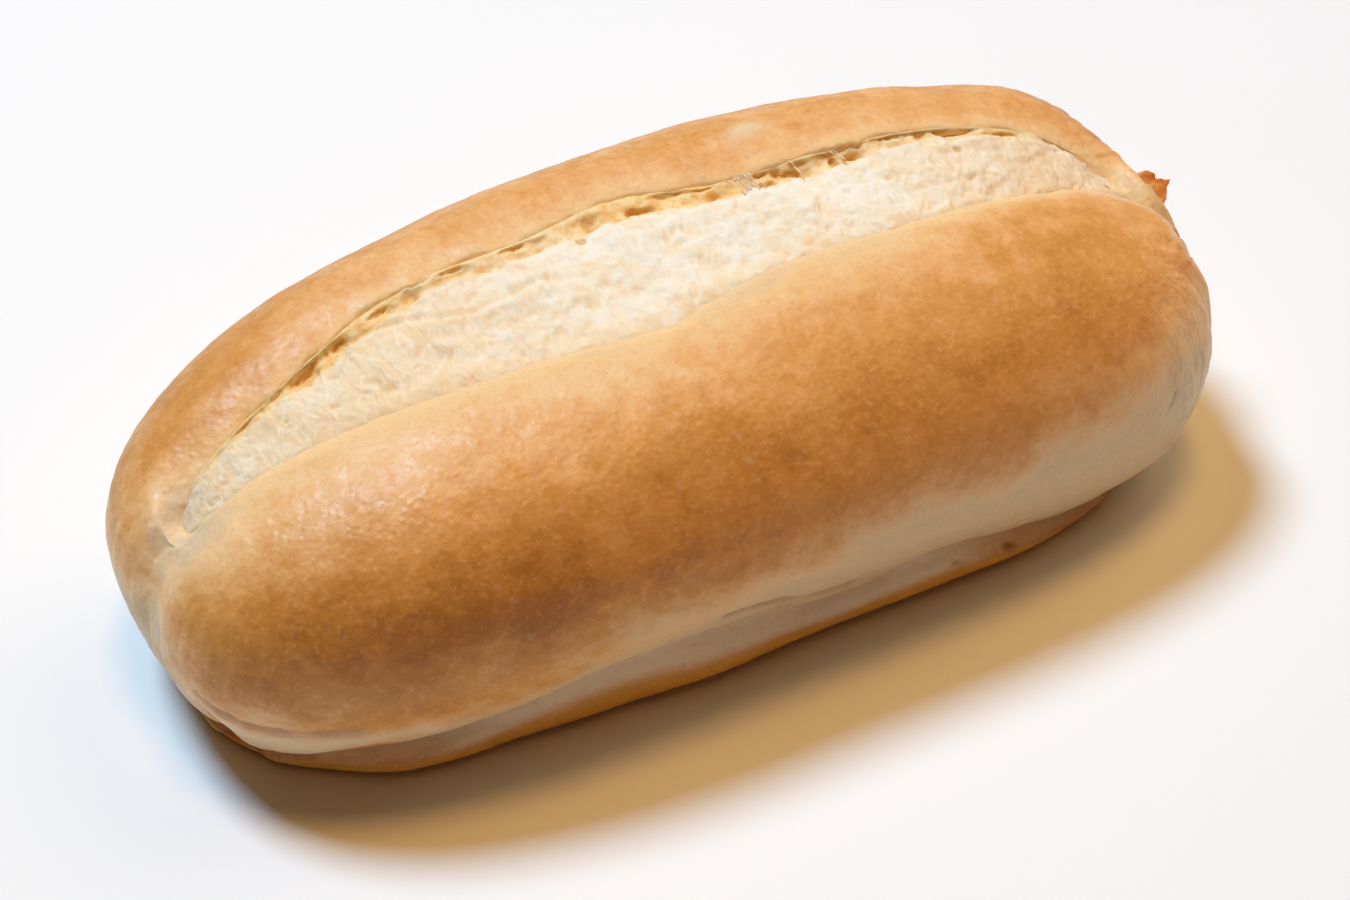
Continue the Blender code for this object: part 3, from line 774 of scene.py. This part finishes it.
def make_flake(material):
    """A crisp flake of crust that stands off the rear lobe's right end, jagged and a little curled."""
    out = np.array(FLAKE_OUT) / np.linalg.norm(FLAKE_OUT)
    along = np.cross(out, (0.3, 0.72, -0.62))
    along = along / np.linalg.norm(along)
    through = np.cross(out, along)
    columns, rows = 60, 16
    a = np.linspace(-3.4, 3.2, columns)
    peaks = np.array(FLAKE_TOP)
    top = np.interp(a, peaks[:, 0], peaks[:, 1])
    line = np.stack([a, a * 0, a * 0], axis=1)
    top = top + (0.3 * noise(line, 0.9, 61) + 0.16 * noise(line, 0.4, 62)) * smooth(-1.2, 0.6, top)
    share = np.linspace(0, 1, rows)[:, None]
    b = -1.2 + (top[None] + 1.2) * share
    flat = np.stack([np.repeat(a[None], rows, 0), b, b * 0], axis=-1)
    curl = 0.035 * np.maximum(b + 0.5, 0) ** 2 + 0.22 * noise(flat, 2.2, 63) + 0.08 * noise(flat, 0.8, 64)
    thick = 0.34 * (1 - 0.55 * share) + 0.06 * noise(flat, 0.7, 65)
    middle = np.array(FLAKE_AT) + flat[..., :1] * along + b[..., None] * out + curl[..., None] * through
    sheets = [middle + side * thick[..., None] * through for side in (-1, 1)]
    points = np.concatenate([sheet.reshape(-1, 3) for sheet in sheets])
    index = np.arange(2 * rows * columns).reshape(2, rows, columns)
    faces = []
    for i in range(rows - 1):
        for k in range(columns - 1):
            faces.append((index[0, i, k], index[0, i, k + 1], index[0, i + 1, k + 1], index[0, i + 1, k]))
            faces.append((index[1, i, k + 1], index[1, i, k], index[1, i + 1, k], index[1, i + 1, k + 1]))
    for k in range(columns - 1):
        for i in (0, rows - 1):
            quad = (index[0, i, k], index[1, i, k], index[1, i, k + 1], index[0, i, k + 1])
            faces.append(quad if i == 0 else quad[::-1])
    for i in range(rows - 1):
        for k in (0, columns - 1):
            quad = (index[0, i, k], index[0, i + 1, k], index[1, i + 1, k], index[1, i, k])
            faces.append(quad if k == 0 else quad[::-1])
    faces = [tuple(int(v) for v in face) for face in faces]
    tip = np.concatenate([np.repeat(share, columns, 1).ravel()] * 2)
    return build("crust_flake", points, faces, material, {"tip": tip})


# Materials.


class Look:
    """A material whose nodes are added one call at a time."""

    def __init__(self, name):
        self.material = bpy.data.materials.new(name)
        self.material.use_nodes = True
        self.tree = self.material.node_tree
        self.shader = self.tree.nodes["Principled BSDF"]
        self.place = self.add("ShaderNodeTexCoord").outputs["Object"]

    def add(self, kind, settings=None, **values):
        node = self.tree.nodes.new(kind)
        for key, value in (settings or {}).items():
            setattr(node, key, value)
        for key, value in values.items():
            place = int(key[1:]) if key[0] == "i" and key[1:].isdigit() else key
            self.put(node.inputs[place], value)
        return node

    def put(self, socket, value):
        if isinstance(value, bpy.types.NodeSocket):
            self.tree.links.new(value, socket)
        elif socket.type == "RGBA" and len(value) == 3:
            socket.default_value = (*value, 1)
        else:
            socket.default_value = value

    def value(self, name):
        return self.add("ShaderNodeAttribute", {"attribute_name": name}).outputs["Fac"]

    def math(self, operation, a, b=0.0):
        return self.add("ShaderNodeMath", {"operation": operation}, i0=a, i1=b).outputs[0]

    def times(self, a, b):
        return self.math("MULTIPLY", a, b)

    def swing(self, value, far=1.0):
        """A noise's value counted from its middle."""
        middle = self.math("SUBTRACT", value, 0.5)
        return middle if far == 1.0 else self.times(middle, far)

    def noise(self, size_mm, detail=3.0, stretch=None, rough=0.5):
        at = self.place
        if stretch:
            at = self.add("ShaderNodeMapping", i0=at, i3=stretch).outputs[0]
        values = {"Vector": at, "Scale": 1000.0 / size_mm, "Detail": detail, "Roughness": rough}
        return self.add("ShaderNodeTexNoise", **values).outputs["Fac"]

    def cells(self, size_mm, feature="SMOOTH_F1"):
        settings = {"feature": feature}
        return self.add("ShaderNodeTexVoronoi", settings, Vector=self.place, Scale=1000.0 / size_mm)

    def span(self, value, low, high, to_low=0.0, to_high=1.0):
        settings = {"interpolation_type": "SMOOTHSTEP"}
        values = {"i0": value, "i1": low, "i2": high, "i3": to_low, "i4": to_high}
        return self.add("ShaderNodeMapRange", settings, **values).outputs[0]

    def mix(self, share, a, b):
        node = self.add("ShaderNodeMix", {"data_type": "RGBA"}, i0=share)
        self.put(node.inputs[6], a)
        self.put(node.inputs[7], b)
        return node.outputs[2]

    def ramp(self, value, stops):
        node = self.add("ShaderNodeValToRGB", Fac=value)
        band = node.color_ramp
        while len(band.elements) < len(stops):
            band.elements.new(0.5)
        for element, (at, colour) in zip(band.elements, stops):
            element.position = at
            element.color = (*colour, 1)
        return node.outputs["Color"]

    def bumps(self, height, tall_mm, normal=None):
        node = self.add("ShaderNodeBump", Height=height, Distance=tall_mm * MM, Strength=1.0)
        if normal is not None:
            self.put(node.inputs["Normal"], normal)
        return node.outputs["Normal"]


def crust_look():
    look = Look("baked_crust")
    browned = look.value("browned")
    foot = look.value("foot")
    blotch = look.noise(7.5, 4.0)
    strong = look.span(browned, 0.15, 0.5, 0.35, 1.0)
    swing = look.swing(blotch, 0.5)
    swing = look.math("ADD", swing, look.swing(look.noise(3.0, 4.0, rough=0.6), 0.46))
    swing = look.math("ADD", swing, look.swing(look.noise(1.3, 4.0, rough=0.6), 0.26))
    amount = look.math("ADD", browned, look.times(swing, strong))
    colour = look.ramp(
        amount,
        (
            (0.0, (0.71, 0.54, 0.35)),
            (0.12, (0.74, 0.53, 0.31)),
            (0.25, (0.91, 0.58, 0.28)),
            (0.4, (0.86, 0.45, 0.165)),
            (0.6, (0.73, 0.32, 0.074)),
            (0.78, (0.63, 0.252, 0.042)),
            (1.0, (0.45, 0.158, 0.022)),
        ),
    )
    grey = look.times(look.value("flank"), look.span(amount, 0.1, 0.72, 0.72, 0.0))
    colour = look.mix(grey, colour, (0.71, 0.52, 0.3))
    colour = look.mix(look.times(look.value("yellow"), 0.7), colour, (0.95, 0.63, 0.31))
    pinkish = look.mix(look.noise(2.4, 4.0), (1.0, 0.87, 0.67), (0.95, 0.74, 0.54))
    colour = look.mix(look.times(foot, 0.9), colour, pinkish)
    baked = look.mix(blotch, (0.95, 0.38, 0.04), (1.0, 0.54, 0.08))
    colour = look.mix(look.times(look.value("rim"), 0.85), colour, baked)
    # Golden olive behind the right seam: partly the rear lobe's own colour, partly painted shade.
    golden = look.mix(look.noise(1.2, 3.0), (0.76, 0.5, 0.24), (0.58, 0.34, 0.12))
    colour = look.mix(look.times(look.value("olive_and_shade"), 0.85), colour, golden)
    # Dark along the crust's lines: painted shade in creases and the painted shadow behind the right seam.
    # Then orange, and a pale that is partly painted highlight.
    colour = look.mix(look.value("line"), colour, (0.42, 0.19, 0.06))
    colour = look.mix(look.value("orange"), colour, (0.95, 0.36, 0.05))
    colour = look.mix(look.value("pale"), colour, (0.88, 0.66, 0.42))
    underside = look.mix(look.noise(5.0, 5.0), (0.44, 0.23, 0.08), (0.62, 0.38, 0.17))
    colour = look.mix(look.value("bottom"), colour, underside)
    # The split's torn inner edge: its own golden colour, made lighter as painted light where the lip's face
    # lies in shade.
    torn = look.mix(look.noise(1.1, 3.0), (0.92, 0.54, 0.2), (0.98, 0.7, 0.34))
    colour = look.mix(look.value("inside"), colour, torn)

    # Mottling finer than a millimetre, soft pale spots that are painted glints on the tiny bumps, and darker
    # specks.
    mottle = look.noise(0.8, 3.0, rough=0.65)
    colour = look.mix(look.span(mottle, 0.5, 0.74, 0.0, 0.2), colour, (0.93, 0.6, 0.3))
    colour = look.mix(look.span(mottle, 0.49, 0.25, 0.0, 0.2), colour, (0.46, 0.18, 0.04))
    for size, reach, share, chance in ((2.6, 0.34, 0.24, 6.0), (1.3, 0.38, 0.14, 3.5)):
        spot = look.cells(size, "F1").outputs["Distance"]
        spot = look.math("ADD", spot, look.swing(look.noise(0.5), 0.3))
        some = look.span(look.noise(chance), 0.5, 0.66)
        pale = look.times(look.span(spot, 0.02, reach, share, 0.0), some)
        colour = look.mix(pale, colour, (0.9, 0.62, 0.38))
    dark = look.span(look.cells(1.9, "F1").outputs["Distance"], 0.04, 0.15, 1.0, 0.0)
    dark = look.times(dark, look.span(look.noise(4.0), 0.5, 0.62))
    colour = look.mix(look.times(dark, 0.14), colour, (0.3, 0.11, 0.03))
    look.put(look.shader.inputs["Base Color"], colour)

    pimples = look.span(look.cells(1.0).outputs["Distance"], 0.0, 0.6, 1.0, 0.0)
    normal = look.bumps(look.noise(2.2, 3.0), 0.1)
    normal = look.bumps(pimples, 0.05, normal)
    normal = look.bumps(look.noise(0.7, 3.0), 0.05, normal)
    wrinkles = look.math("ABSOLUTE", look.swing(look.noise(2.0, 2.0, (1.0, 1.0, 0.22))))
    ends = look.times(look.value("ends"), wrinkles)
    normal = look.bumps(ends, 1.0, normal)
    look.put(look.shader.inputs["Normal"], normal)
    rough = look.span(look.noise(2.2, 4.0), 0.3, 0.7, 0.35, 0.56)
    rough = look.math("ADD", rough, look.times(foot, 0.3))
    look.put(look.shader.inputs["Roughness"], rough)
    look.shader.inputs["Specular IOR Level"].default_value = 0.34
    look.shader.inputs["Subsurface Weight"].default_value = 0.06
    look.shader.inputs["Subsurface Radius"].default_value = (1.0, 0.5, 0.2)
    look.shader.inputs["Subsurface Scale"].default_value = 0.0015
    return look.material


def crumb_look():
    look = Look("torn_crumb")
    deep = look.value("deep")
    groove = look.value("groove")
    cream = look.mix(look.value("white"), (0.88, 0.655, 0.4), (0.945, 0.835, 0.695))
    patch = look.span(look.noise(3.2, 4.0), 0.42, 0.66)
    colour = look.mix(look.times(patch, 0.5), cream, (0.89, 0.66, 0.36))
    # Painted shade: the crumb's hollows are darker and yellower.
    painted_hollow_shade = look.span(deep, 0.02, 0.55)
    colour = look.mix(look.times(painted_hollow_shade, 0.62), colour, (0.85, 0.595, 0.26))
    # Painted highlight: the raised fibres are paler.
    painted_fibre_highlight = look.span(look.value("hairs"), 0.1, 0.9)
    colour = look.mix(look.times(painted_fibre_highlight, 0.45), colour, (0.95, 0.87, 0.74))
    ochre = look.mix(look.span(look.noise(1.3, 3.0), 0.35, 0.65), (0.87, 0.52, 0.18), (0.96, 0.69, 0.35))
    colour = look.mix(groove, colour, ochre)
    # Painted shade deeper in the groove.
    colour = look.mix(look.times(groove, look.span(deep, 0.15, 1.0)), colour, (0.82, 0.48, 0.15))
    # Painted shade inside the holes.
    colour = look.mix(look.times(look.value("hole"), 0.65), colour, (0.7, 0.4, 0.12))
    warm = look.times(look.value("margin"), look.span(look.noise(1.8, 3.0), 0.3, 0.62, 0.15, 0.7))
    colour = look.mix(warm, colour, (0.92, 0.66, 0.38))
    grey = look.times(look.value("narrow"), look.span(look.noise(1.5, 4.0), 0.4, 0.6, 0.0, 0.55))
    colour = look.mix(grey, colour, (0.66, 0.47, 0.27))
    look.put(look.shader.inputs["Base Color"], colour)
    normal = look.bumps(look.noise(0.32, 3.0, (1.0, 0.35, 0.5)), 0.07)
    normal = look.bumps(look.noise(0.9, 4.0), 0.1, normal)
    look.put(look.shader.inputs["Normal"], normal)
    look.put(look.shader.inputs["Roughness"], look.span(look.noise(1.5), 0.3, 0.7, 0.55, 0.8))
    look.shader.inputs["Specular IOR Level"].default_value = 0.25
    look.shader.inputs["Subsurface Weight"].default_value = 0.5
    look.shader.inputs["Subsurface Radius"].default_value = (1.0, 0.75, 0.45)
    look.shader.inputs["Subsurface Scale"].default_value = 0.0018
    return look.material


def flake_look():
    look = Look("crisp_flake")
    tip = look.math("ADD", look.value("tip"), look.swing(look.noise(1.2), 0.5))
    stops = ((0.0, (0.88, 0.52, 0.22)), (0.45, (0.9, 0.44, 0.13)), (1.0, (0.86, 0.32, 0.06)))
    colour = look.ramp(tip, stops)
    look.put(look.shader.inputs["Base Color"], colour)
    look.put(look.shader.inputs["Normal"], look.bumps(look.noise(0.5, 3.0), 0.08))
    look.put(look.shader.inputs["Roughness"], look.span(look.noise(1.0), 0.3, 0.7, 0.35, 0.55))
    look.shader.inputs["Subsurface Weight"].default_value = 0.4
    look.shader.inputs["Subsurface Radius"].default_value = (1.0, 0.4, 0.1)
    look.shader.inputs["Subsurface Scale"].default_value = 0.002
    return look.material


# The stage.


def make_stage():
    mesh = bpy.data.meshes.new("floor")
    mesh.from_pydata([(-3, -3, 0), (3, -3, 0), (3, 3, 0), (-3, 3, 0)], [], [(0, 1, 2, 3)])
    floor = bpy.data.objects.new("floor", mesh)
    bpy.context.scene.collection.objects.link(floor)
    look = Look("pale_floor")
    look.shader.inputs["Base Color"].default_value = (0.9, 0.9, 0.9, 1)
    look.shader.inputs["Roughness"].default_value = 0.9
    look.shader.inputs["Specular IOR Level"].default_value = 0.1
    mesh.materials.append(look.material)

    for name, turn, rise, wide, power, tint in LIGHTS:
        turn, rise = math.radians(turn), math.radians(rise)
        source = Vector((math.cos(turn) * math.cos(rise), math.sin(turn) * math.cos(rise), math.sin(rise)))
        if name == "cool_key":
            light = bpy.data.lights.new(name, "AREA")
            light.shape = "DISK"
            light.size = 2 * KEY_AWAY * MM * math.tan(math.radians(wide / 2))
            light.energy = power * math.pi * (KEY_AWAY * MM) ** 2
        else:
            light = bpy.data.lights.new(name, "SUN")
            light.angle = math.radians(wide)
            light.energy = power
        light.color = tint
        lamp = bpy.data.objects.new(name, light)
        bpy.context.scene.collection.objects.link(lamp)
        lamp.location = source * KEY_AWAY * MM
        lamp.rotation_euler = (-source).to_track_quat("-Z", "Y").to_euler()

    world = bpy.data.worlds.new("room")
    bpy.context.scene.world = world
    world.use_nodes = True
    tree = world.node_tree
    warm = tree.nodes["Background"]
    warm.inputs["Color"].default_value = (0.022, 0.011, 0.004, 1)
    plain = tree.nodes.new("ShaderNodeBackground")
    plain.inputs["Color"].default_value = (0.9, 0.92, 0.94, 1)
    which = tree.nodes.new("ShaderNodeLightPath")
    both = tree.nodes.new("ShaderNodeMixShader")
    tree.links.new(which.outputs["Is Camera Ray"], both.inputs[0])
    tree.links.new(warm.outputs[0], both.inputs[1])
    tree.links.new(plain.outputs[0], both.inputs[2])
    tree.links.new(both.outputs[0], tree.nodes["World Output"].inputs["Surface"])

    yaw, fall = math.radians(YAW), math.radians(FALL)
    ahead = Vector((math.sin(yaw) * math.cos(fall), math.cos(yaw) * math.cos(fall), -math.sin(fall)))
    lens = bpy.data.cameras.new("camera")
    lens.lens = FOCAL
    lens.sensor_width = 36.0
    lens.sensor_fit = "HORIZONTAL"
    lens.clip_start = 0.01
    camera = bpy.data.objects.new("camera", lens)
    camera.location = (Vector((TARGET - MIDDLE).tolist()) - ahead * AWAY) * MM
    camera.rotation_euler = ahead.to_track_quat("-Z", "Y").to_euler()
    bpy.context.scene.collection.objects.link(camera)
    bpy.context.scene.camera = camera
    bpy.context.scene.view_settings.view_transform = "Standard"


make_stage()
crust = make_crust(crust_look())
torn = crumb_look()
crumb = make_crumb(torn)
strands = make_strands(torn)
flake = make_flake(flake_look())
for piece in (crust, crumb, strands, flake):
    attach(piece, "root")
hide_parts("roll")
